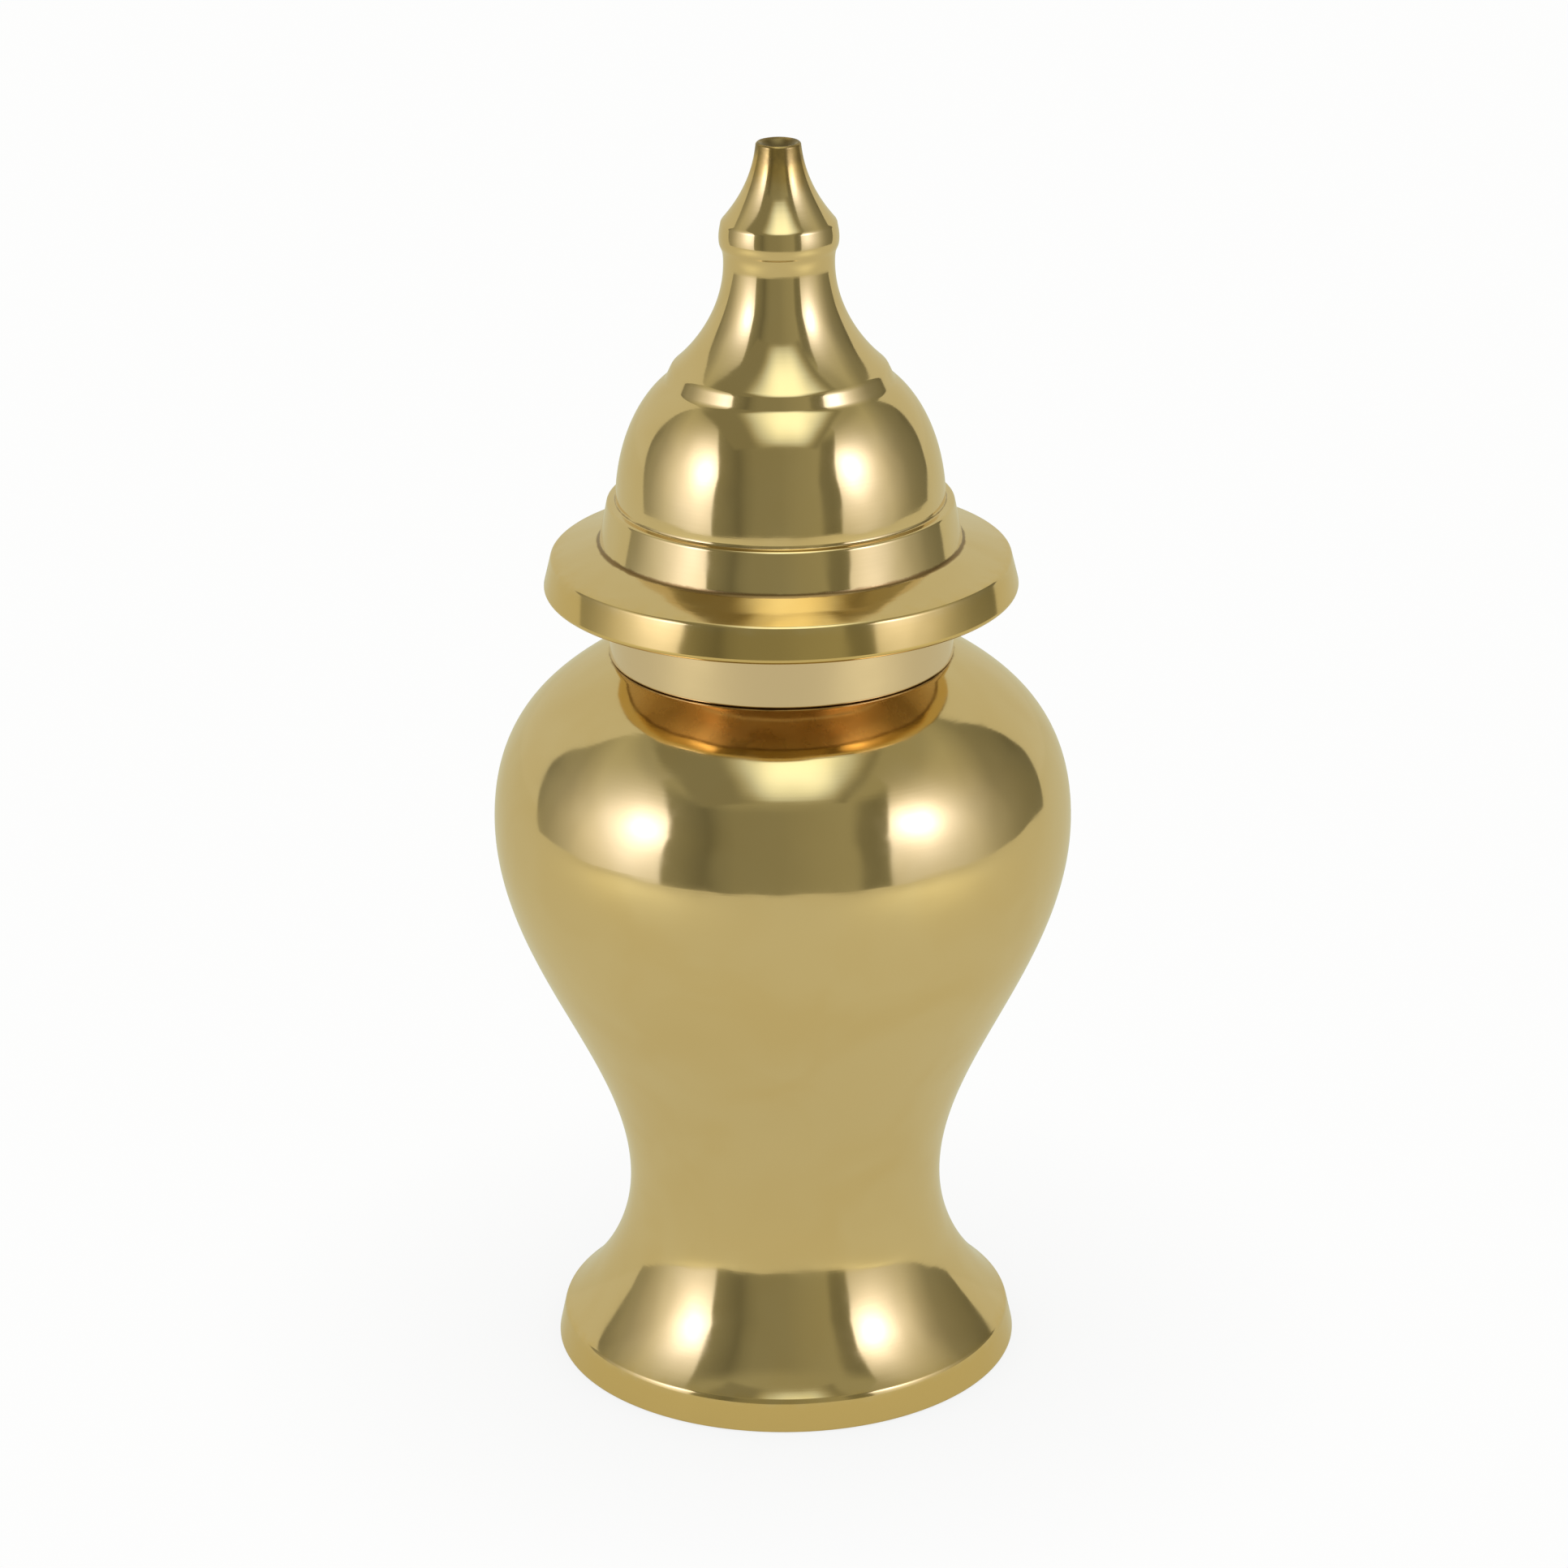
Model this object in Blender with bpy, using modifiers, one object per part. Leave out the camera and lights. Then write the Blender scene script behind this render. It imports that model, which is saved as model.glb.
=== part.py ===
"""A small brass cremation urn: a waisted jar and the lid that lifts off it, both turned on one axis.

Metres, +Z up. The origin is the centre of the foot's underside, and the axis of turning is Z.
"""

import math

import bpy
from mathutils import Vector

# The jar's outside, from the foot up
FOOT_RADIUS = 0.01655
FOOT_BAND_HEIGHT = 0.0023
FOOT_BAND_TAPER = 0.0005
FOOT_FLARE_HEIGHT = 0.0105
WAIST_RADIUS = 0.0112
BELLY_RADIUS = 0.02035
BELLY_RISE = 0.02765
SHOULDER_HEIGHT = 0.0123

# The jar's wall, neck, floor and underside
JAR_WALL = 0.0015
NECK_WALL = 0.0012
FLOOR_THICKNESS = 0.0022
RECESS_DEPTH = 0.0015
STANDING_RING_WIDTH = 0.0026

# The lid's skirt goes over the jar's neck and stands on the top of its shoulder
SKIRT_RADIUS = 0.0120
SKIRT_HEIGHT = 0.00465
SKIRT_WALL = 0.0012
SEAT_GAP = 0.0003
NECK_SIDE_CLEARANCE = 0.0003
NECK_TOP_CLEARANCE = 0.0014

# The lid's outside, from the flange up
FLANGE_OVERHANG = 0.00345
FLANGE_EDGE_HEIGHT = 0.0023
FLANGE_EDGE_TAPER = 0.00045
FLANGE_TOP_RISE = 0.0009
BAND_HEIGHT = 0.0031
BAND_TAPER = 0.0006
LEDGE_WIDTH = 0.0006
LEDGE_RISE = 0.00035
DOME_RADIUS = 0.0114
DOME_HEIGHT = 0.00815
RING_RADIUS = 0.0079
RING_HEIGHT = 0.00085
RING_TAPER = 0.0005
BELL_HEIGHT = 0.00735
BELL_NECK_RADIUS = 0.0038
BEAD_RADIUS = 0.0041
BEAD_RISE = 0.00175
CROWN_HEIGHT = 0.0011
CROWN_TAPER = 0.00015
SPIKE_HEIGHT = 0.00545
TIP_RADIUS = 0.00165

# The lid's inside, and the lathe centre's mark in its tip
LID_WALL = 0.0015
TIP_RIM = 0.0003
TIP_MARK_DEPTH = 0.0010

# How steeply the curves leave their ends, in degrees below level
UPRIGHT = 90.0
SHOULDER_SLOPE = 32.0
FOOT_FLARE_SLOPE = 41.0
DOME_SLOPE = 35.0
BELL_SLOPE = 40.0
CROWN_SLOPE = 80.0
SPIKE_FOOT_SLOPE = 49.0
SPIKE_TIP_SLOPE = 85.0

# How far the two ends of each curve pull it, as shares of the width or height that it spans
SHOULDER_PULLS = (0.56, 0.59)
BODY_PULLS = (0.36, 0.35)
FOOT_FLARE_PULLS = (0.44, 0.68)
DOME_PULLS = (0.57, 0.46)
BELL_PULLS = (0.48, 0.53)
BEAD_PULLS = (0.52, 0.75)
CROWN_PULLS = (0.35, 0.35)
SPIKE_PULLS = (0.36, 0.93)

# How finely the pieces are turned, and how far their sharp edges are eased
TURN_STEPS = 40
BODY_SPANS = 12
CURVE_SPANS = 8
BEAD_SPANS = 3
EDGE_EASE = 0.00025
SHARP_ANGLE = 30.0
AXIS_WELD = 0.00001


def curve_down(start, start_slope, start_pull, end, end_slope, end_pull, spans):
    """Points of a smooth curve from start down to end, both of them a radius and a height.

    The slopes are in degrees below level, and each pull is the length of that end's handle.
    """
    first = Vector(start)
    last = Vector(end)
    leaving = math.radians(start_slope)
    arriving = math.radians(end_slope)
    second = first + start_pull * Vector((math.cos(leaving), -math.sin(leaving)))
    third = last - end_pull * Vector((math.cos(arriving), -math.sin(arriving)))
    points = []
    for step in range(spans + 1):
        t = step / spans
        u = 1.0 - t
        point = u**3 * first + 3 * u * u * t * second + 3 * u * t * t * third + t**3 * last
        points.append(tuple(point))
    return points


def eased(line):
    """A line of points with a short arc in place of each corner between its ends."""
    points = [line[0]]
    for before, corner, after in zip(line, line[1:], line[2:]):
        middle = Vector(corner)
        start = middle + EDGE_EASE * (Vector(before) - middle).normalized()
        end = middle + EDGE_EASE * (Vector(after) - middle).normalized()
        points += [tuple(start), tuple((start + 2 * middle + end) / 4), tuple(end)]
    points.append(line[-1])
    return points


def inner_line(line, wall):
    """The inner side of a wall whose outer side is a line that runs downwards."""
    inner = []
    for index, (radius, height) in enumerate(line):
        before = Vector(line[max(index - 1, 0)])
        after = Vector(line[min(index + 1, len(line) - 1)])
        along = (after - before).normalized()
        inner.append((radius + along.y * wall, height - along.x * wall))
    return inner


def cut_at(line, height):
    """The part of a line, which runs downwards, that lies above a height, ended on that height."""
    kept = [point for point in line if point[1] > height]
    upper = Vector(kept[-1])
    lower = Vector(line[len(kept)])
    end = upper.lerp(lower, (upper.y - height) / (upper.y - lower.y))
    return kept + [tuple(end)]


def jar_outline():
    """The jar's half section: from its floor up the inside, then down the outside to the underside."""
    band_top = (FOOT_RADIUS - FOOT_BAND_TAPER, FOOT_BAND_HEIGHT)
    waist = (WAIST_RADIUS, FOOT_BAND_HEIGHT + FOOT_FLARE_HEIGHT)
    belly = (BELLY_RADIUS, waist[1] + BELLY_RISE)
    seat = (SKIRT_RADIUS, belly[1] + SHOULDER_HEIGHT)

    shoulder = curve_down(
        seat, SHOULDER_SLOPE, SHOULDER_PULLS[0] * (BELLY_RADIUS - SKIRT_RADIUS),
        belly, UPRIGHT, SHOULDER_PULLS[1] * SHOULDER_HEIGHT, CURVE_SPANS)
    body = curve_down(
        belly, UPRIGHT, BODY_PULLS[0] * BELLY_RISE,
        waist, UPRIGHT, BODY_PULLS[1] * BELLY_RISE, BODY_SPANS)
    flare = curve_down(
        waist, UPRIGHT, FOOT_FLARE_PULLS[0] * FOOT_FLARE_HEIGHT,
        band_top, FOOT_FLARE_SLOPE, FOOT_FLARE_PULLS[1] * (band_top[0] - WAIST_RADIUS), CURVE_SPANS)
    outside = shoulder + body[1:] + flare[1:]

    recess_radius = FOOT_RADIUS - STANDING_RING_WIDTH
    foot = eased([outside[-2], band_top, (FOOT_RADIUS, 0.0), (recess_radius, 0.0)])[1:]
    underside = [(recess_radius, RECESS_DEPTH), (0.0, RECESS_DEPTH)]

    neck_radius = SKIRT_RADIUS - SKIRT_WALL - NECK_SIDE_CLEARANCE
    mouth_radius = neck_radius - NECK_WALL
    neck_top = seat[1] + SEAT_GAP + SKIRT_HEIGHT - NECK_TOP_CLEARANCE
    neck = eased([
        (mouth_radius, seat[1] - JAR_WALL), (mouth_radius, neck_top),
        (neck_radius, neck_top), (neck_radius, seat[1])])

    floor = RECESS_DEPTH + FLOOR_THICKNESS
    inside = cut_at(inner_line(outside, JAR_WALL)[1::2], floor)
    return [(0.0, floor)] + inside[::-1] + neck + outside[:-1] + foot + underside


def lid_outline():
    """The lid's half section: from the finial's tip down the outside, then up the inside."""
    seat = FOOT_BAND_HEIGHT + FOOT_FLARE_HEIGHT + BELLY_RISE + SHOULDER_HEIGHT
    skirt_foot = seat + SEAT_GAP
    flange_foot = skirt_foot + SKIRT_HEIGHT
    flange_top = flange_foot + FLANGE_EDGE_HEIGHT
    band_foot = flange_top + FLANGE_TOP_RISE
    band_top = band_foot + BAND_HEIGHT
    dome_foot = (DOME_RADIUS, band_top + LEDGE_RISE)
    ring_foot = (RING_RADIUS, dome_foot[1] + DOME_HEIGHT)
    ring_top = (RING_RADIUS - RING_TAPER, ring_foot[1] + RING_HEIGHT)
    bell_neck = (BELL_NECK_RADIUS, ring_top[1] + BELL_HEIGHT)
    bead = (BEAD_RADIUS, bell_neck[1] + BEAD_RISE)
    crown = (BEAD_RADIUS - CROWN_TAPER, bead[1] + CROWN_HEIGHT)
    tip = (TIP_RADIUS, crown[1] + SPIKE_HEIGHT)

    mark = [(0.0, tip[1] - TIP_MARK_DEPTH), (TIP_RADIUS - TIP_RIM, tip[1])]
    spike = curve_down(
        tip, SPIKE_TIP_SLOPE, SPIKE_PULLS[0] * SPIKE_HEIGHT,
        crown, SPIKE_FOOT_SLOPE, SPIKE_PULLS[1] * (crown[0] - TIP_RADIUS), CURVE_SPANS)
    bead_top = curve_down(
        crown, CROWN_SLOPE, CROWN_PULLS[0] * CROWN_HEIGHT,
        bead, UPRIGHT, CROWN_PULLS[1] * CROWN_HEIGHT, BEAD_SPANS)
    bead_foot = curve_down(
        bead, UPRIGHT, BEAD_PULLS[0] * BEAD_RISE,
        bell_neck, UPRIGHT, BEAD_PULLS[1] * BEAD_RISE, BEAD_SPANS)
    bell = curve_down(
        bell_neck, UPRIGHT, BELL_PULLS[0] * BELL_HEIGHT,
        ring_top, BELL_SLOPE, BELL_PULLS[1] * (ring_top[0] - BELL_NECK_RADIUS), CURVE_SPANS)
    finial = spike + bead_top[1:] + bead_foot[1:] + bell[1:]
    dome = curve_down(
        ring_foot, DOME_SLOPE, DOME_PULLS[0] * (DOME_RADIUS - RING_RADIUS),
        dome_foot, UPRIGHT, DOME_PULLS[1] * DOME_HEIGHT, CURVE_SPANS)

    ledge_radius = DOME_RADIUS + LEDGE_WIDTH
    band_radius = ledge_radius + BAND_TAPER
    flange_radius = band_radius + FLANGE_OVERHANG
    bore_radius = SKIRT_RADIUS - SKIRT_WALL
    collar = eased([
        dome_foot, (ledge_radius, band_top), (band_radius, band_foot),
        (flange_radius, flange_top), (flange_radius + FLANGE_EDGE_TAPER, flange_foot),
        (SKIRT_RADIUS, flange_foot), (SKIRT_RADIUS, skirt_foot), (bore_radius, skirt_foot)])

    hollow = inner_line(dome, LID_WALL)[::2]
    hollow_foot = flange_foot + LID_WALL
    inside = [(bore_radius, hollow_foot), (hollow[-1][0], hollow_foot)] + hollow[::-1]
    return mark + finial + dome[:-1] + collar + inside + [(0.0, hollow[0][1])]


def polished_brass():
    """Yellow brass with a mirror polish."""
    material = bpy.data.materials.new("Polished brass")
    material.use_nodes = True
    shader = material.node_tree.nodes["Principled BSDF"]
    shader.inputs["Base Color"].default_value = (0.80, 0.62, 0.30, 1.0)
    shader.inputs["Metallic"].default_value = 1.0
    shader.inputs["Roughness"].default_value = 0.12
    return material


def turned(name, outline, material, collection):
    """A piece turned about Z from its half section, which starts and ends on the axis."""
    section = bpy.data.meshes.new(name)
    corners = [(radius, 0.0, height) for radius, height in outline]
    section.from_pydata(corners, [(i, i + 1) for i in range(len(corners) - 1)], [])
    piece = bpy.data.objects.new(name, section)
    collection.objects.link(piece)
    lathe = piece.modifiers.new("Turned", "SCREW")
    lathe.axis = "Z"
    lathe.steps = TURN_STEPS
    lathe.render_steps = TURN_STEPS
    lathe.use_merge_vertices = True
    lathe.merge_threshold = AXIS_WELD

    turned_piece = piece.evaluated_get(bpy.context.evaluated_depsgraph_get())
    mesh = bpy.data.meshes.new_from_object(turned_piece)
    mesh.materials.append(material)
    mesh.shade_smooth()
    mesh.set_sharp_from_angle(angle=math.radians(SHARP_ANGLE))
    piece.modifiers.clear()
    piece.data = mesh


def main():
    for old in list(bpy.data.objects):
        bpy.data.objects.remove(old)
    urn = bpy.data.collections.new("Cremation urn")
    bpy.context.scene.collection.children.link(urn)
    brass = polished_brass()
    turned("jar", jar_outline(), brass, urn)
    turned("lid", lid_outline(), brass, urn)


main()
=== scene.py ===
import math

import bmesh
import bpy
from mathutils import Matrix, Quaternion, Vector
from mathutils.geometry import interpolate_bezier


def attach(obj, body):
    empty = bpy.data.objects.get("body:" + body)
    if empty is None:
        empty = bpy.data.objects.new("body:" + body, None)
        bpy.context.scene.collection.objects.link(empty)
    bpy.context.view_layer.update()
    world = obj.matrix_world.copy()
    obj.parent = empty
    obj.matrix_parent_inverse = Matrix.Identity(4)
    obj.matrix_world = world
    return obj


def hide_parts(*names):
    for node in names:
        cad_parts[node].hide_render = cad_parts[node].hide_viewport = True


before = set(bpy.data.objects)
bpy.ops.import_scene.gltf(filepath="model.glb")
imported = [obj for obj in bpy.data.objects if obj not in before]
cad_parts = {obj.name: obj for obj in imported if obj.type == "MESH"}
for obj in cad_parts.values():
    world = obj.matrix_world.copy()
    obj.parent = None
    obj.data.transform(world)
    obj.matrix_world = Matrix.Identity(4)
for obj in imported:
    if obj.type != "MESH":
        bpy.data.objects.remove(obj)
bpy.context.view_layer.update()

# The camera: a long lens about four urn heights away, looking down at the belly from the front.
# Its frame leans by under half a degree, so the finial stands a little left of the foot.
VIEWPOINT = (0.0, -0.3295, 0.1705)
AIM = (0.0001, 0.0, 0.04269)
FOCAL_LENGTH = 115.0
SENSOR_WIDTH = 36.0
NEAREST = 0.01
FURTHEST = 20.0
LEAN = math.radians(0.38)

camera_data = bpy.data.cameras.new("Camera")
camera_data.lens = FOCAL_LENGTH
camera_data.sensor_width = SENSOR_WIDTH
camera_data.clip_start = NEAREST
camera_data.clip_end = FURTHEST
camera = bpy.data.objects.new("Camera", camera_data)
bpy.context.scene.collection.objects.link(camera)
camera.location = VIEWPOINT
towards = (Vector(AIM) - Vector(VIEWPOINT)).to_track_quat("-Z", "Y")
camera.rotation_euler = (towards @ Quaternion((0.0, 0.0, 1.0), -LEAN)).to_euler()
bpy.context.scene.camera = camera
bpy.context.scene.view_settings.view_transform = "Standard"

# The floor is a pale matt sheet that runs on to the horizon, with a soft shadow where the foot stands.
# The camera sees it almost white, and the brass mirrors it as a light grey with two brighter pools.
FLOOR_SIZE = 3.0
FLOOR_DROP = 0.00005
FLOOR_SEEN = (0.985, 0.985, 0.980, 1.0)
FLOOR_MIRRORED = (0.620, 0.603, 0.427, 1.0)
SHADOW_REACH = 0.035
SHADOW_SAMPLES = 16
SHADOW_END = (0.08, 0.14)
SHADOW_SEEN = 0.15
SHADOW_MIRRORED = 0.12
POOLS = ((-0.170, -0.100), (0.160, -0.105))
POOL_STRENGTH = 0.45
POOL_SPREAD = 0.075


def put(tree, kind, inputs=None, **settings):
    """A new node with these settings, whose inputs are given a value or joined to a socket."""
    node = tree.nodes.new(kind)
    for name, value in settings.items():
        setattr(node, name, value)
    for name, value in (inputs or {}).items():
        if isinstance(value, bpy.types.NodeSocket):
            tree.links.new(value, node.inputs[name])
        else:
            node.inputs[name].default_value = value
    return node


def reckon(tree, operation, first, second=0.0):
    """The result of a Math node on two values or sockets."""
    return put(tree, "ShaderNodeMath", {0: first, 1: second}, operation=operation).outputs[0]


def between(tree, factor, first, second):
    """A value that goes from the first to the second as the factor goes from 0 to 1."""
    return put(tree, "ShaderNodeMix", {0: factor, 2: first, 3: second}).outputs[0]


def blend(tree, factor, first, second):
    """A colour that goes from the first to the second as the factor goes from 0 to 1."""
    return put(tree, "ShaderNodeMix", {0: factor, 6: first, 7: second}, data_type="RGBA").outputs[2]


def rise(tree, value, low, high):
    """A smooth step from 0 to 1 as the value goes from low to high."""
    step = put(tree, "ShaderNodeMapRange", {"Value": value, "From Min": low, "From Max": high},
               interpolation_type="SMOOTHSTEP")
    return step.outputs["Result"]


def object_place(tree):
    """The point that is shaded, in the piece's own coordinates."""
    return put(tree, "ShaderNodeTexCoord").outputs["Object"]


def length(tree, vector):
    """The length of a vector."""
    return put(tree, "ShaderNodeVectorMath", {0: vector}, operation="LENGTH").outputs["Value"]


def is_camera_ray(tree):
    """1 where the camera looks straight at the surface, and 0 where the brass mirrors it."""
    return put(tree, "ShaderNodeLightPath").outputs["Is Camera Ray"]


def emptied(node_owner):
    """The node tree of a new material or world, with nothing in it."""
    node_owner.use_nodes = True
    node_owner.node_tree.nodes.clear()
    return node_owner.node_tree


def stage_piece(name, bm, material):
    """A part of the studio, which doesn't belong to the urn."""
    mesh = bpy.data.meshes.new(name)
    bm.to_mesh(mesh)
    bm.free()
    mesh.materials.append(material)
    piece = bpy.data.objects.new(name, mesh)
    bpy.context.scene.collection.objects.link(piece)
    return piece


floor_white = bpy.data.materials.new("Floor white")
tree = emptied(floor_white)
place = object_place(tree)
is_seen = is_camera_ray(tree)
occlusion = put(tree, "ShaderNodeAmbientOcclusion", {"Distance": SHADOW_REACH}, samples=SHADOW_SAMPLES)
openness = reckon(tree, "MAXIMUM", occlusion.outputs["AO"], rise(tree, length(tree, place), *SHADOW_END))
closed = between(tree, is_seen, 1.0 - SHADOW_MIRRORED, 1.0 - SHADOW_SEEN)
shaded = between(tree, openness, closed, 1.0)
pools = 0.0
for pool in POOLS:
    off_pool = put(tree, "ShaderNodeVectorMath", {0: place, 1: (*pool, 0.0)}, operation="DISTANCE")
    share = reckon(tree, "DIVIDE", off_pool.outputs["Value"], POOL_SPREAD)
    fade = reckon(tree, "MULTIPLY", reckon(tree, "POWER", share, 2.0), -1.0)
    pools = reckon(tree, "ADD", reckon(tree, "EXPONENT", fade), pools)
mirrored = reckon(tree, "ADD", reckon(tree, "MULTIPLY", pools, POOL_STRENGTH), 1.0)
floor_light = reckon(tree, "MULTIPLY", shaded, between(tree, is_seen, mirrored, 1.0))
colour = blend(tree, is_seen, FLOOR_MIRRORED, FLOOR_SEEN)
glow = put(tree, "ShaderNodeEmission", {"Color": colour, "Strength": floor_light})
put(tree, "ShaderNodeOutputMaterial", {"Surface": glow.outputs[0]})

bm = bmesh.new()
bmesh.ops.create_grid(bm, x_segments=1, y_segments=1, size=FLOOR_SIZE,
                      matrix=Matrix.Translation((0.0, 0.0, -FLOOR_DROP)))
stage_piece("floor", bm, floor_white)

# A round screen stands 32 cm in front of the urn and at its sides, leans back, and the brass mirrors it.
# Its two ends are rounded off below, where the pale room behind shows past them.
# It has a dim panel in the middle, a darker gap at each side of that, and a lamp's glow beyond each gap.
SCREEN_RADIUS = 0.40
SCREEN_LINE = ((0.315, 0.0), (SCREEN_RADIUS, 0.20), (SCREEN_RADIUS, 1.20))
SCREEN_LEFT = math.radians(-119.0)
SCREEN_RIGHT = math.radians(130.0)
SCREEN_STEPS = 96
LEFT_END = (math.radians(-107.0), math.radians(-118.0))
RIGHT_END = (math.radians(121.0), math.radians(129.0))
END_ROUNDING = 0.20
END_SOFTNESS = math.radians(0.6)
GAP_TOP = (0.45, 0.60)
GAP_SPREAD = (0.20, 0.56)
GAP_DRAWN_IN = 0.65
ABOVE_GAPS = 0.36
# Degrees from straight in front, with left as minus, and the cloth's brightness there
SCREEN_TONES = (
    (-118.0, 0.20), (-108.0, 0.30), (-102.0, 0.31), (-84.0, 0.47), (-47.2, 0.45), (-46.2, 0.27),
    (-42.0, 0.25), (-30.0, 0.165), (-24.0, 0.24), (-18.0, 0.275), (0.0, 0.285), (12.0, 0.325),
    (27.5, 0.355), (30.5, 0.22), (36.0, 0.20), (41.4, 0.23), (42.8, 0.44), (80.0, 0.44),
    (90.0, 0.35), (102.0, 0.255), (120.0, 0.205), (128.0, 0.15))
SCREEN_TINT = (1.0, 0.98, 0.634, 1.0)
LEFT_LAMP = {"turn": -58.5, "edge": 46.7, "height": 0.2025,
             "width": 0.083, "tallness": 0.108, "strength": 3.4}
RIGHT_LAMP = {"turn": 57.0, "edge": 42.2, "height": 0.232,
              "width": 0.072, "tallness": 0.090, "strength": 4.2}
LAMP_EDGE_FADE = (-0.4, 0.8)
LAMP_TINT = (0.97, 0.98, 1.24, 1.0)


def ramped(tree, value, low, high, start, end):
    """A value that runs evenly from start to end as another goes from low to high, and stays there."""
    line = put(tree, "ShaderNodeMapRange",
               {"Value": value, "From Min": low, "From Max": high, "To Min": start, "To Max": end})
    return line.outputs["Result"]


def split(tree, vector):
    """The three parts of a vector."""
    return put(tree, "ShaderNodeSeparateXYZ", {0: vector}).outputs[:]


def joined(tree, first, second, third=0.0):
    """A vector of three parts."""
    return put(tree, "ShaderNodeCombineXYZ", {0: first, 1: second, 2: third}).outputs[0]


def heading(tree, x, y):
    """The turn round the axis from straight in front, in radians, with left as minus."""
    return reckon(tree, "ARCTAN2", x, reckon(tree, "MULTIPLY", y, -1.0))


screen_cloth = bpy.data.materials.new("Screen cloth")
tree = emptied(screen_cloth)
x, y, height = split(tree, object_place(tree))
azimuth = heading(tree, x, y)
drawn_in = reckon(tree, "MULTIPLY", azimuth, ramped(tree, height, *GAP_SPREAD, 1.0, GAP_DRAWN_IN))
turn_share = reckon(tree, "ADD", reckon(tree, "DIVIDE", drawn_in, math.tau), 0.5)
ramp = put(tree, "ShaderNodeValToRGB", {"Fac": turn_share})
stops = ramp.color_ramp.elements
while len(stops) < len(SCREEN_TONES):
    stops.new(0.5)
for stop, (degrees, tone) in zip(stops, SCREEN_TONES):
    stop.position = degrees / 360.0 + 0.5
    stop.color = (tone, tone, tone, 1.0)
tone = between(tree, rise(tree, height, *GAP_TOP), ramp.outputs["Color"], ABOVE_GAPS)
cloth_light = put(tree, "ShaderNodeEmission", {"Color": SCREEN_TINT, "Strength": tone})
lamp_light = 0.0
for lamp in (LEFT_LAMP, RIGHT_LAMP):
    turned = reckon(tree, "SUBTRACT", azimuth, math.radians(lamp["turn"]))
    across = reckon(tree, "MULTIPLY", turned, SCREEN_RADIUS / lamp["width"])
    raised = reckon(tree, "SUBTRACT", height, lamp["height"])
    upwards = reckon(tree, "DIVIDE", raised, lamp["tallness"])
    away = length(tree, joined(tree, across, upwards))
    fade = reckon(tree, "EXPONENT", reckon(tree, "MULTIPLY", away, -1.0))
    sideways = reckon(tree, "MULTIPLY", drawn_in, math.copysign(1.0, lamp["turn"]))
    edge_fade = [math.radians(lamp["edge"] + degrees) for degrees in LAMP_EDGE_FADE]
    past_edge = rise(tree, sideways, *edge_fade)
    shine = reckon(tree, "MULTIPLY", reckon(tree, "MULTIPLY", fade, past_edge), lamp["strength"])
    lamp_light = reckon(tree, "ADD", shine, lamp_light)
glare = put(tree, "ShaderNodeEmission", {"Color": LAMP_TINT, "Strength": lamp_light})
both = put(tree, "ShaderNodeAddShader", {0: cloth_light.outputs[0], 1: glare.outputs[0]})
below = ramped(tree, height, 0.0, END_ROUNDING, 1.0, 0.0)
bend = reckon(tree, "SUBTRACT", 1.0, reckon(tree, "MULTIPLY", below, below))
left_end = between(tree, bend, *LEFT_END)
right_end = between(tree, bend, *RIGHT_END)
past_left = rise(tree, azimuth, reckon(tree, "SUBTRACT", left_end, END_SOFTNESS), left_end)
past_right = rise(tree, azimuth, right_end, reckon(tree, "ADD", right_end, END_SOFTNESS))
shown = reckon(tree, "SUBTRACT", past_left, past_right)
clear = put(tree, "ShaderNodeBsdfTransparent")
cloth = put(tree, "ShaderNodeMixShader", {0: shown, 1: clear.outputs[0], 2: both.outputs[0]})
put(tree, "ShaderNodeOutputMaterial", {"Surface": cloth.outputs[0]})

bm = bmesh.new()
upright = [bm.verts.new((0.0, -radius, level)) for radius, level in SCREEN_LINE]
for lower, upper in zip(upright, upright[1:]):
    bm.edges.new((lower, upper))
bmesh.ops.rotate(bm, verts=upright, cent=(0.0, 0.0, 0.0), matrix=Matrix.Rotation(SCREEN_LEFT, 3, "Z"))
bmesh.ops.spin(bm, geom=bm.verts[:] + bm.edges[:], cent=(0.0, 0.0, 0.0), axis=(0.0, 0.0, 1.0),
               angle=SCREEN_RIGHT - SCREEN_LEFT, steps=SCREEN_STEPS)
screen = stage_piece("screen", bm, screen_cloth)
screen.visible_camera = False

# A softbox hangs level above the urn, just out of the frame, and gives the pale patches on each curve.
# Its cloth fades out towards the camera, and a dim frame stands round it.
SOFTBOX_HEIGHT = 0.174
SOFTBOX_LIGHT = 1.35
SOFTBOX_TINT = (0.93, 1.0, 0.86, 1.0)
FRAME_TINT = (1.0, 0.97, 0.62, 1.0)
FRAME_LIGHT = 0.25
FULL_TINT = 0.4
SOFTBOX_REACH = 0.16
SOFTBOX_MIDDLE = 0.009
SOFTBOX_FRONT = (-0.106, -0.033)
SOFTBOX_BACK = (0.010, 0.045)
SOFTBOX_EDGE = (0.009, 0.053)
FRAME_LEFT = (-0.090, -0.080)
FRAME_RIGHT = (0.060, 0.070)
FRAME_FRONT = (-0.104, -0.097)


def fall(tree, value, low, high):
    """A smooth step from 1 to 0 as the value goes from low to high."""
    return reckon(tree, "SUBTRACT", 1.0, rise(tree, value, low, high))


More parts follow.
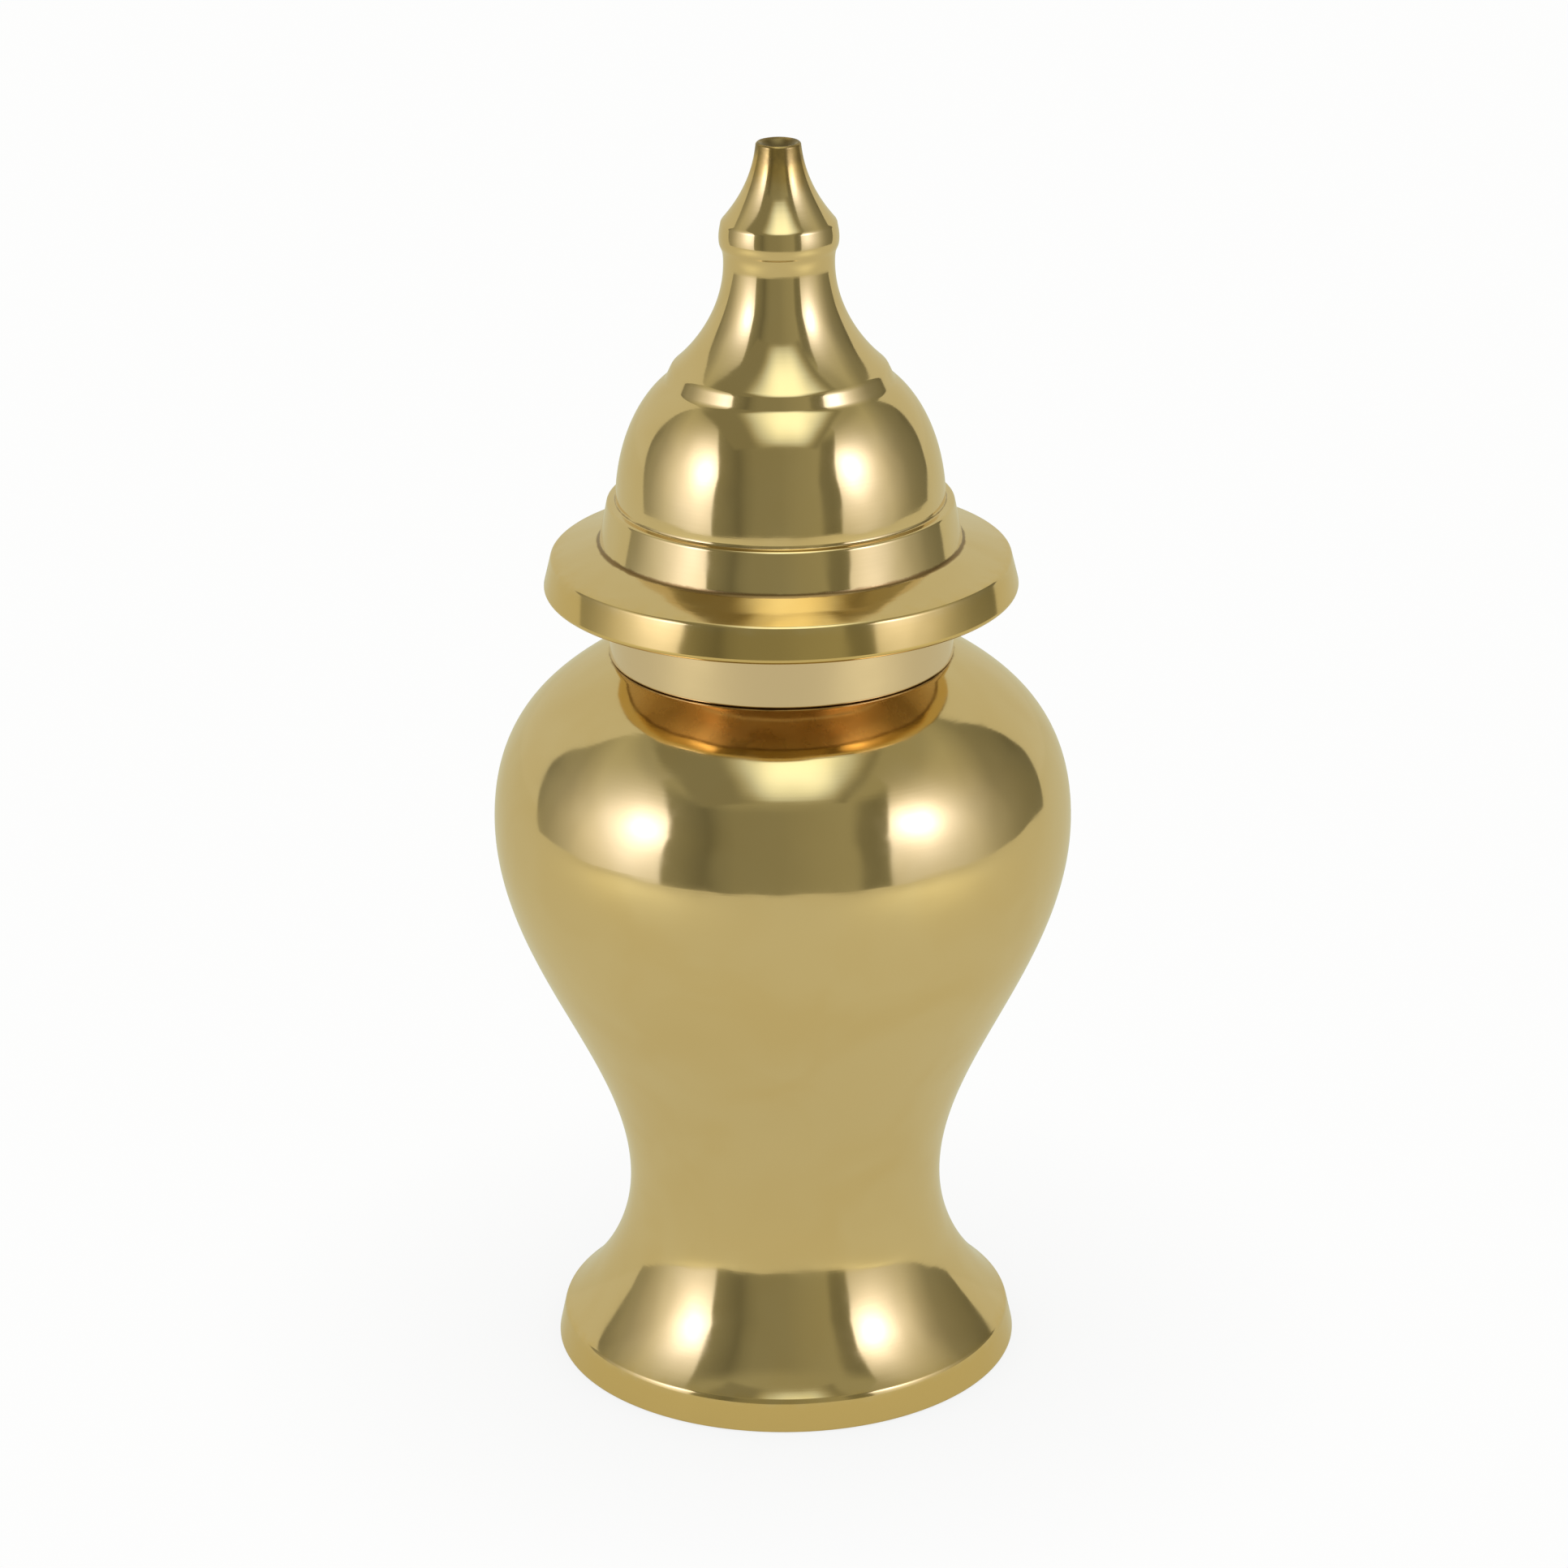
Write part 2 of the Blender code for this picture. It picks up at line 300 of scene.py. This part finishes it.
softbox_cloth = bpy.data.materials.new("Softbox cloth")
tree = emptied(softbox_cloth)
x, y = split(tree, object_place(tree))[:2]
off_middle = reckon(tree, "ABSOLUTE", reckon(tree, "SUBTRACT", x, SOFTBOX_MIDDLE))
sides = fall(tree, off_middle, *SOFTBOX_EDGE)
short_of_front = ramped(tree, y, *SOFTBOX_FRONT, 1.0, 0.0)
front = reckon(tree, "SUBTRACT", 1.0, reckon(tree, "MULTIPLY", short_of_front, short_of_front))
back = fall(tree, y, *SOFTBOX_BACK)
spread = reckon(tree, "MULTIPLY", reckon(tree, "MULTIPLY", sides, front), back)
strength = reckon(tree, "ADD", reckon(tree, "MULTIPLY", spread, SOFTBOX_LIGHT), FRAME_LIGHT)
tint = blend(tree, rise(tree, spread, 0.0, FULL_TINT), FRAME_TINT, SOFTBOX_TINT)
glow = put(tree, "ShaderNodeEmission", {"Color": tint, "Strength": strength})
past_left = rise(tree, x, *FRAME_LEFT)
past_right = rise(tree, x, *FRAME_RIGHT)
past_front = rise(tree, y, *FRAME_FRONT)
within = reckon(tree, "MULTIPLY", reckon(tree, "SUBTRACT", past_left, past_right), past_front)
shown = reckon(tree, "MULTIPLY", within, back)
clear = put(tree, "ShaderNodeBsdfTransparent")
cloth = put(tree, "ShaderNodeMixShader", {0: shown, 1: clear.outputs[0], 2: glow.outputs[0]})
put(tree, "ShaderNodeOutputMaterial", {"Surface": cloth.outputs[0]})

bm = bmesh.new()
bmesh.ops.create_grid(bm, x_segments=1, y_segments=1, size=SOFTBOX_REACH,
                      matrix=Matrix.Translation((0.0, 0.0, SOFTBOX_HEIGHT)))
softbox = stage_piece("softbox", bm, softbox_cloth)
softbox.visible_camera = False

# The room: pale behind the urn, where the floor's sheet sweeps up, and dim in front and overhead.
# The camera sees all of it as pale as the floor.
ROOM_FRONT = (0.32, 0.315, 0.21, 1.0)
ROOM_BACK = (0.64, 0.625, 0.456, 1.0)
ROOM_EDGE = (math.radians(100.0), math.radians(106.0))

room = bpy.data.worlds.new("Pale room")
tree = emptied(room)
x, y = split(tree, put(tree, "ShaderNodeTexCoord").outputs["Generated"])[:2]
behind = rise(tree, reckon(tree, "ABSOLUTE", heading(tree, x, y)), *ROOM_EDGE)
mirrored = blend(tree, behind, ROOM_FRONT, ROOM_BACK)
colour = blend(tree, is_camera_ray(tree), mirrored, FLOOR_SEEN)
sky = put(tree, "ShaderNodeBackground", {"Color": colour, "Strength": 1.0})
put(tree, "ShaderNodeOutputWorld", {"Surface": sky.outputs[0]})
bpy.context.scene.world = room

# The jar is one hollow casting of yellow brass: foot, waist, belly, shoulder and a plain neck under the
# lid. It is turned on a lathe outside and in the mouth, then buffed to a mirror by hand, which leaves
# slight waves and fine lines round it. The inside is left as it was turned.
FOOT_RADIUS = 0.01665
FOOT_BAND_HEIGHT = 0.0023
FOOT_BAND_TAPER = 0.0005
FOOT_FLARE_HEIGHT = 0.0105
WAIST_RADIUS = 0.01121
BELLY_RADIUS = 0.02035
BELLY_RISE = 0.02765
SHOULDER_HEIGHT = 0.0123
JAR_WALL = 0.0015
FLOOR_THICKNESS = 0.0022
RECESS_DEPTH = 0.0015
RECESS_RADIUS = 0.01395
SEAT_RADIUS = 0.0120
NECK_RADIUS = 0.0105
MOUTH_RADIUS = 0.0093
NECK_HEIGHT = 0.00355
CAVITY_CLEARANCE = 0.0002

# How each curve leaves its ends: degrees below level, and pulls as shares of what the curve spans
UPRIGHT = 90.0
SHOULDER_SLOPE = 30.5
FLARE_END_SLOPE = 40.0
SHOULDER_PULLS = (0.58, 0.59)
BODY_PULLS = (0.36, 0.35)
FLARE_PULLS = (0.55, 0.32)

# How finely the pieces are turned, and how their corners are eased
SHOULDER_SPANS = 40
BODY_SPANS = 56
CURVE_SPANS = 32
TURNS = 192
WELD = 0.000002
CORNER = math.radians(20.0)
EDGE_EASE = 0.00025
EASE_STEPS = 4
EASE_ROOM = 4.0
EASE_CUT = 1.4
OUTER = 0
INNER = 1

BRASS = (0.80, 0.63, 0.355, 1.0)
BRASS_DEEP = (0.78, 0.60, 0.315, 1.0)
MIRROR_ROUGHNESS = (0.075, 0.115)
INNER_BRASS = (0.66, 0.50, 0.22, 1.0)
INNER_DEEP = (0.52, 0.38, 0.16, 1.0)
INNER_ROUGHNESS = (0.28, 0.42)
MARK_DEPTH = 0.00013
JAR_MARKS = {"Waves per metre": 170.0, "Lines per metre": 3500.0, "Line share": 0.012}
INNER_MARKS = {"Waves per metre": 120.0, "Lines per metre": 2200.0, "Line share": 0.10}
WAVE_NOISE = {"Detail": 1.6, "Roughness": 0.35}
LINE_NOISE = {"Detail": 3.0, "Roughness": 0.6}
HAZE_NOISE = {"Scale": 420.0, "Detail": 4.0, "Roughness": 0.6}
HAZE_RANGE = (0.35, 0.70)
TONE_NOISE = {"Scale": 130.0, "Detail": 2.0, "Distortion": 0.6}
TONE_RANGE = (0.30, 0.70)

# Stains and painted light and shade, each a colour and a roughness, and how they thin out
# Darker brass: tarnish in some creases, and painted shade where parts meet and under the flange
TARNISH_AND_SHADE = ((0.30, 0.19, 0.08, 1.0), 0.32)
# Warmer brass: painted shade and warm reflected light on the foot band and the flange edge
PAINTED_WARM_REFLECTION = ((0.77, 0.57, 0.25, 1.0), 0.115)
PATCH_NOISE = {"Scale": 900.0, "Detail": 3.0}
PATCH_LEAST = 0.5
RING_FADE = (0.35, 1.0)


def curve_down(start, start_slope, start_pull, end, end_slope, end_pull, spans):
    """Points of a smooth curve from start down to end, each a radius and a height.

    The slopes are in degrees below level, and each pull is the length of that end's handle.
    """
    first = Vector(start)
    last = Vector(end)
    leaving = math.radians(start_slope)
    arriving = math.radians(end_slope)
    second = first + start_pull * Vector((math.cos(leaving), -math.sin(leaving)))
    third = last - end_pull * Vector((math.cos(arriving), -math.sin(arriving)))
    return interpolate_bezier(first, second, third, last, spans + 1)


def inner_line(line, wall):
    """The inner side of a wall whose outer side is a line that runs downwards."""
    inner = []
    for index, point in enumerate(line):
        before = Vector(line[max(index - 1, 0)])
        after = Vector(line[min(index + 1, len(line) - 1)])
        along = (after - before).normalized()
        inner.append(Vector((point[0] + along.y * wall, point[1] - along.x * wall)))
    return inner


def turn(bm, section, material_index, ease=EDGE_EASE):
    """Eases the corners of a half section, given as radii and heights, and turns it about Z."""
    old_faces = set(bm.faces)
    verts = [bm.verts.new((point[0], 0.0, point[1])) for point in section]
    for pair in zip(verts, verts[1:]):
        bm.edges.new(pair)
    corners = []
    for before, vert, after in zip(verts, verts[1:], verts[2:]):
        if (vert.co - before.co).angle(after.co - vert.co) > CORNER:
            corners.append(vert)
    for vert in corners:
        for edge in list(vert.link_edges):
            if edge.calc_length() > EASE_ROOM * ease:
                bmesh.utils.edge_split(edge, vert, EASE_CUT * ease / edge.calc_length())
    bmesh.ops.bevel(bm, geom=corners, offset=ease, offset_type="OFFSET", segments=EASE_STEPS,
                    profile=0.5, affect="VERTICES", material=-1)
    wire = [edge for edge in bm.edges if edge.is_wire]
    ends = {vert for edge in wire for vert in edge.verts}
    bmesh.ops.spin(bm, geom=list(ends) + wire, cent=(0.0, 0.0, 0.0), axis=(0.0, 0.0, 1.0),
                   angle=math.tau, steps=TURNS, use_merge=True)
    for face in bm.faces:
        if face not in old_faces:
            face.material_index = material_index
            face.smooth = True


def finished_piece(name, bm, finishes):
    """A turned piece of the urn, closed and facing outwards, in place of the CAD node of that name."""
    bmesh.ops.remove_doubles(bm, verts=bm.verts, dist=WELD)
    bmesh.ops.recalc_face_normals(bm, faces=bm.faces)
    if bm.calc_volume(signed=True) < 0.0:
        bmesh.ops.reverse_faces(bm, faces=bm.faces)
    mesh = bpy.data.meshes.new(name + " turned")
    bm.to_mesh(mesh)
    bm.free()
    for finish in finishes:
        mesh.materials.append(finish)
    piece = bpy.data.objects.new(name + "_turned", mesh)
    bpy.context.scene.collection.objects.link(piece)
    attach(piece, "root")
    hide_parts(name)
    return piece


def new_group(name, inputs, outputs):
    """A node group that takes a position and some values and gives values, and what it is given."""
    group = bpy.data.node_groups.new(name, "ShaderNodeTree")
    group.interface.new_socket("Position", in_out="INPUT", socket_type="NodeSocketVector")
    for socket in inputs:
        group.interface.new_socket(socket, in_out="INPUT", socket_type="NodeSocketFloat")
    for socket in outputs:
        group.interface.new_socket(socket, in_out="OUTPUT", socket_type="NodeSocketFloat")
    return group, put(group, "NodeGroupInput").outputs


def from_axis(tree, position):
    """How far a point is from the axis, and how high it is."""
    x, y, height = split(tree, position)
    return length(tree, joined(tree, x, y)), height


def noise(tree, position, settings):
    """A noise pattern, with its scale, detail and roughness by name."""
    return put(tree, "ShaderNodeTexNoise", {"Vector": position, **settings}).outputs[0]


marks, given = new_group("Turning and buffing marks", ("Waves per metre", "Lines per metre", "Line share"),
                         ("Height", "Haze", "Tone"))
position = given["Position"]
radius, height = from_axis(marks, position)
waves = noise(marks, position, {"Scale": given["Waves per metre"], **WAVE_NOISE})
lines = noise(marks, joined(marks, radius, 0.0, height), {"Scale": given["Lines per metre"], **LINE_NOISE})
line_height = reckon(marks, "MULTIPLY", lines, given["Line share"])
put(marks, "NodeGroupOutput", {
    "Height": reckon(marks, "ADD", waves, line_height),
    "Haze": rise(marks, noise(marks, position, HAZE_NOISE), *HAZE_RANGE),
    "Tone": rise(marks, noise(marks, position, TONE_NOISE), *TONE_RANGE)})

# A ring of colour round a crease, used for stains and for painted light and shade alike
crease, given = new_group("Stain and painted light round a ring", ("Radius", "Height", "Spread"), ("Mask",))
radius, height = from_axis(crease, given["Position"])
outwards = reckon(crease, "SUBTRACT", radius, given["Radius"])
upwards = reckon(crease, "SUBTRACT", height, given["Height"])
away = length(crease, joined(crease, outwards, upwards))
patches = reckon(crease, "ADD", noise(crease, given["Position"], PATCH_NOISE), PATCH_LEAST)
reach = reckon(crease, "MULTIPLY", given["Spread"], patches)
put(crease, "NodeGroupOutput", {"Mask": fall(crease, reckon(crease, "DIVIDE", away, reach), *RING_FADE)})


def turned_brass(name, light_tone, deep_tone, roughness, marking, creases):
    """Brass with its buffing waves, its turning lines, and the stains and painted light and shade round
    its creases.

    A crease is its radius, its height, how far the colour spreads from there, and that colour with its
    roughness.
    """
    material = bpy.data.materials.new(name)
    tree = emptied(material)
    place = object_place(tree)
    marked = put(tree, "ShaderNodeGroup", {"Position": place, **marking}, node_tree=marks)
    colour = blend(tree, marked.outputs["Tone"], light_tone, deep_tone)
    gloss = between(tree, marked.outputs["Haze"], *roughness)
    for radius, height, spread, (crease_colour, crease_roughness) in creases:
        crease_mask = put(tree, "ShaderNodeGroup",
                      {"Position": place, "Radius": radius, "Height": height, "Spread": spread},
                      node_tree=crease)
        colour = blend(tree, crease_mask.outputs["Mask"], colour, crease_colour)
        gloss = between(tree, crease_mask.outputs["Mask"], gloss, crease_roughness)
    bump = put(tree, "ShaderNodeBump",
               {"Strength": 1.0, "Distance": MARK_DEPTH, "Height": marked.outputs["Height"]})
    shader = put(tree, "ShaderNodeBsdfPrincipled",
                 {"Base Color": colour, "Metallic": 1.0, "Roughness": gloss, "Normal": bump.outputs[0]})
    put(tree, "ShaderNodeOutputMaterial", {"Surface": shader.outputs[0]})
    return material


foot_band_top = (FOOT_RADIUS - FOOT_BAND_TAPER, FOOT_BAND_HEIGHT)
waist = (WAIST_RADIUS, FOOT_BAND_HEIGHT + FOOT_FLARE_HEIGHT)
belly = (BELLY_RADIUS, waist[1] + BELLY_RISE)
seat = (SEAT_RADIUS, belly[1] + SHOULDER_HEIGHT)
neck_top = seat[1] + NECK_HEIGHT
under_neck = seat[1] - JAR_WALL
jar_floor = RECESS_DEPTH + FLOOR_THICKNESS
shoulder_line = curve_down(
    seat, SHOULDER_SLOPE, SHOULDER_PULLS[0] * (BELLY_RADIUS - SEAT_RADIUS),
    belly, UPRIGHT, SHOULDER_PULLS[1] * SHOULDER_HEIGHT, SHOULDER_SPANS)
body_line = curve_down(
    belly, UPRIGHT, BODY_PULLS[0] * BELLY_RISE,
    waist, UPRIGHT, BODY_PULLS[1] * BELLY_RISE, BODY_SPANS)
flare_line = curve_down(
    waist, UPRIGHT, FLARE_PULLS[0] * FOOT_FLARE_HEIGHT,
    foot_band_top, FLARE_END_SLOPE, FLARE_PULLS[1] * (foot_band_top[0] - WAIST_RADIUS), CURVE_SPANS)
jar_side = shoulder_line + body_line[1:] + flare_line[1:]
outside = [(MOUTH_RADIUS, neck_top), (NECK_RADIUS, neck_top), (NECK_RADIUS, seat[1])] + jar_side
outside += [(FOOT_RADIUS, 0.0), (RECESS_RADIUS, 0.0), (RECESS_RADIUS, RECESS_DEPTH), (0.0, RECESS_DEPTH)]
cavity_top = under_neck - CAVITY_CLEARANCE
cavity = [point for point in inner_line(jar_side, JAR_WALL) if jar_floor < point.y < cavity_top]
inside = [(MOUTH_RADIUS, neck_top), (MOUTH_RADIUS, under_neck)] + cavity
inside += [(cavity[-1].x, jar_floor), (0.0, jar_floor)]

# Darker brass is painted as shade round the seat, just outside the lid's skirt, and round the foot's rim
# on the floor. Warmer brass on the foot band is painted shade and warm reflected light.
jar_creases = (
    (SEAT_RADIUS - 0.00025, seat[1], 0.00040, TARNISH_AND_SHADE),
    (FOOT_RADIUS, 0.0, 0.00032, TARNISH_AND_SHADE),
    (FOOT_RADIUS - 0.00025, 0.0010, 0.00190, PAINTED_WARM_REFLECTION))
jar_mirror = turned_brass("Jar brass, buffed", BRASS, BRASS_DEEP, MIRROR_ROUGHNESS, JAR_MARKS, jar_creases)
inside_finish = turned_brass("Brass inside, as turned", INNER_BRASS, INNER_DEEP, INNER_ROUGHNESS,
                             INNER_MARKS, ())

bm = bmesh.new()
turn(bm, outside, OUTER)
turn(bm, inside, INNER)
finished_piece("jar", bm, (jar_mirror, inside_finish))

# The lid is a second hollow casting of the same brass: skirt, flange, band, dome, ring and finial.
# It lifts off. Its skirt goes down over the jar's neck and stands on the shoulder. The tip keeps the
# small pit of the lathe's centre, polish has dried in some creases, and the flange is dull underneath.
# Shade is painted in as darker brass along the skirt's foot and under the flange, and light as paler
# brass on the skirt and warmer brass on the flange edge.
SKIRT_GAP = 0.00002
SKIRT_RADIUS = 0.0120
BORE_RADIUS = 0.0108
SKIRT_HEIGHT = 0.00468
FLANGE_RADIUS = 0.01597
FLANGE_EDGE_HEIGHT = 0.0025
FLANGE_EDGE_TAPER = 0.00050
FLANGE_LIP = 0.00045
FLANGE_TOP_RISE = 0.00105
UNDERSIDE_RISE = 0.00065
DULL_RADIUS = 0.0152
BAND_FOOT_RADIUS = 0.0126
BAND_TOP_RADIUS = 0.0120
BAND_HEIGHT = 0.0029
LEDGE_RISE = 0.00005
DOME_RADIUS = 0.0114
DOME_HEIGHT = 0.00846
RING_RADIUS = 0.0079
RING_HEIGHT = 0.0010
RING_TAPER = 0.00047
BELL_HEIGHT = 0.00729
BELL_NECK_RADIUS = 0.0038
BEAD_RADIUS = 0.0041
BEAD_RISE = 0.00175
CROWN_HEIGHT = 0.0011
CROWN_TAPER = 0.00015
SPIKE_HEIGHT = 0.00545
TIP_RADIUS = 0.00153
TIP_RIM = 0.0003
TIP_MARK_DEPTH = 0.0010
LID_WALL = 0.0015
LID_EASE = 0.00016
UNDER = 2

# How each curve leaves its ends, as on the jar
SPIKE_SLOPES = (85.0, 49.0)
SPIKE_PULLS = (0.36, 0.93)
CROWN_SLOPE = 80.0
CROWN_PULLS = (0.35, 0.35)
BEAD_PULLS = (0.52, 0.75)
BELL_SLOPE = 40.0
BELL_PULLS = (0.46, 0.55)
DOME_SLOPE = 38.0
DOME_PULLS = (0.92, 0.32)
LIP_END_SLOPE = 180.0
LIP_PULL = 0.55
SPIKE_SPANS = 28
BEAD_SPANS = 12
SMALL_SPANS = 8

LID_MARKS = {"Waves per metre": 190.0, "Lines per metre": 3800.0, "Line share": 0.014}
# Paler brass painted on the skirt brightens the light it mirrors, and what the shoulder mirrors of it: a
# painted reflection
PAINTED_SKIRT_SHEEN = ((0.81, 0.645, 0.45, 1.0), 0.10)
OLD_FILM = ((0.66, 0.46, 0.18, 1.0), 0.12)
PIT_DIRT = ((0.15, 0.11, 0.05, 1.0), 0.35)
UNDER_BRASS = (0.74, 0.55, 0.32, 1.0)
UNDER_DEEP = (0.66, 0.47, 0.26, 1.0)
UNDER_ROUGHNESS = (0.24, 0.34)
UNDER_MARKS = {"Waves per metre": 150.0, "Lines per metre": 2600.0, "Line share": 0.05}

skirt_foot = seat[1] + SKIRT_GAP
flange_foot = skirt_foot + SKIRT_HEIGHT
flange_top = flange_foot + FLANGE_EDGE_HEIGHT
band_foot = flange_top + FLANGE_TOP_RISE
band_top = band_foot + BAND_HEIGHT
dome_foot = (DOME_RADIUS, band_top + LEDGE_RISE)
ring_foot = (RING_RADIUS, dome_foot[1] + DOME_HEIGHT)
ring_top = (RING_RADIUS - RING_TAPER, ring_foot[1] + RING_HEIGHT)
bell_neck = (BELL_NECK_RADIUS, ring_top[1] + BELL_HEIGHT)
bead = (BEAD_RADIUS, bell_neck[1] + BEAD_RISE)
crown = (BEAD_RADIUS - CROWN_TAPER, bead[1] + CROWN_HEIGHT)
tip = (TIP_RADIUS, crown[1] + SPIKE_HEIGHT)

spike_line = curve_down(
    tip, SPIKE_SLOPES[0], SPIKE_PULLS[0] * SPIKE_HEIGHT,
    crown, SPIKE_SLOPES[1], SPIKE_PULLS[1] * (crown[0] - TIP_RADIUS), SPIKE_SPANS)
bead_top_line = curve_down(
    crown, CROWN_SLOPE, CROWN_PULLS[0] * CROWN_HEIGHT,
    bead, UPRIGHT, CROWN_PULLS[1] * CROWN_HEIGHT, SMALL_SPANS)
bead_foot_line = curve_down(
    bead, UPRIGHT, BEAD_PULLS[0] * BEAD_RISE,
    bell_neck, UPRIGHT, BEAD_PULLS[1] * BEAD_RISE, BEAD_SPANS)
bell_line = curve_down(
    bell_neck, UPRIGHT, BELL_PULLS[0] * BELL_HEIGHT,
    ring_top, BELL_SLOPE, BELL_PULLS[1] * (ring_top[0] - BELL_NECK_RADIUS), CURVE_SPANS)
dome_line = curve_down(
    ring_foot, DOME_SLOPE, DOME_PULLS[0] * (DOME_RADIUS - RING_RADIUS),
    dome_foot, UPRIGHT, DOME_PULLS[1] * DOME_HEIGHT, CURVE_SPANS)
edge_slope = math.degrees(math.atan2(FLANGE_EDGE_HEIGHT - FLANGE_LIP, FLANGE_EDGE_TAPER))
lip_top = (FLANGE_RADIUS + FLANGE_EDGE_TAPER, flange_foot + FLANGE_LIP)
lip_foot = (lip_top[0] - FLANGE_LIP, flange_foot)
lip_line = curve_down(
    lip_top, edge_slope, LIP_PULL * FLANGE_LIP,
    lip_foot, LIP_END_SLOPE, LIP_PULL * FLANGE_LIP, SMALL_SPANS)
dull_share = (lip_foot[0] - DULL_RADIUS) / (lip_foot[0] - SKIRT_RADIUS)
outside = [(0.0, tip[1] - TIP_MARK_DEPTH), (TIP_RADIUS - TIP_RIM, tip[1])]
outside += spike_line + bead_top_line[1:] + bead_foot_line[1:] + bell_line[1:] + dome_line
outside += [(BAND_TOP_RADIUS, band_top), (BAND_FOOT_RADIUS, band_foot), (FLANGE_RADIUS, flange_top)]
outside += lip_line
outside += [
    (DULL_RADIUS, flange_foot + dull_share * UNDERSIDE_RISE), (SKIRT_RADIUS, flange_foot + UNDERSIDE_RISE),
    (SKIRT_RADIUS, skirt_foot), (BORE_RADIUS, skirt_foot)]
hollow_foot = flange_foot + LID_WALL
hollow = inner_line(dome_line, LID_WALL)
inside = [(BORE_RADIUS, skirt_foot), (BORE_RADIUS, hollow_foot), (hollow[-1].x, hollow_foot)]
inside += hollow[::-1] + [(0.0, hollow[0].y)]

# Rings of colour on the lid: a painted paler skirt, darker lines in the corners at the band's foot and the
# dome's foot, painted shade along the skirt's foot, painted shade and warm reflected light on the flange
# edge, an old film on the spike and dirt in the tip's pit
lid_creases = (
    (SKIRT_RADIUS, skirt_foot + 0.5 * SKIRT_HEIGHT, 0.00520, PAINTED_SKIRT_SHEEN),
    (BAND_FOOT_RADIUS, band_foot, 0.00028, TARNISH_AND_SHADE),
    (DOME_RADIUS, dome_foot[1], 0.00011, TARNISH_AND_SHADE),
    (SKIRT_RADIUS - 0.0003, skirt_foot, 0.00028, TARNISH_AND_SHADE),
    (FLANGE_RADIUS, flange_foot + 0.0010, 0.00210, PAINTED_WARM_REFLECTION),
    (TIP_RADIUS, tip[1] - 0.0004, 0.00320, OLD_FILM),
    (0.0, tip[1] - 0.0004, 0.00230, PIT_DIRT))
# A dark line painted under the flange is painted shade at the inner edge of the polished rim, standing in
# for a step up into a recess
under_creases = ((DULL_RADIUS - 0.0001, flange_foot + 0.00012, 0.00026, TARNISH_AND_SHADE),)
lid_mirror = turned_brass("Lid brass, buffed", BRASS, BRASS_DEEP, MIRROR_ROUGHNESS, LID_MARKS, lid_creases)
under_finish = turned_brass("Lid brass under the flange, as turned", UNDER_BRASS, UNDER_DEEP,
                            UNDER_ROUGHNESS, UNDER_MARKS, under_creases)

bm = bmesh.new()
turn(bm, outside, OUTER, LID_EASE)
for face in bm.faces:
    middle = face.calc_center_median()
    if SKIRT_RADIUS < middle.xy.length < DULL_RADIUS and abs(middle.z - flange_foot) < UNDERSIDE_RISE:
        face.material_index = UNDER
turn(bm, inside, INNER)
finished_piece("lid", bm, (lid_mirror, inside_finish, under_finish))
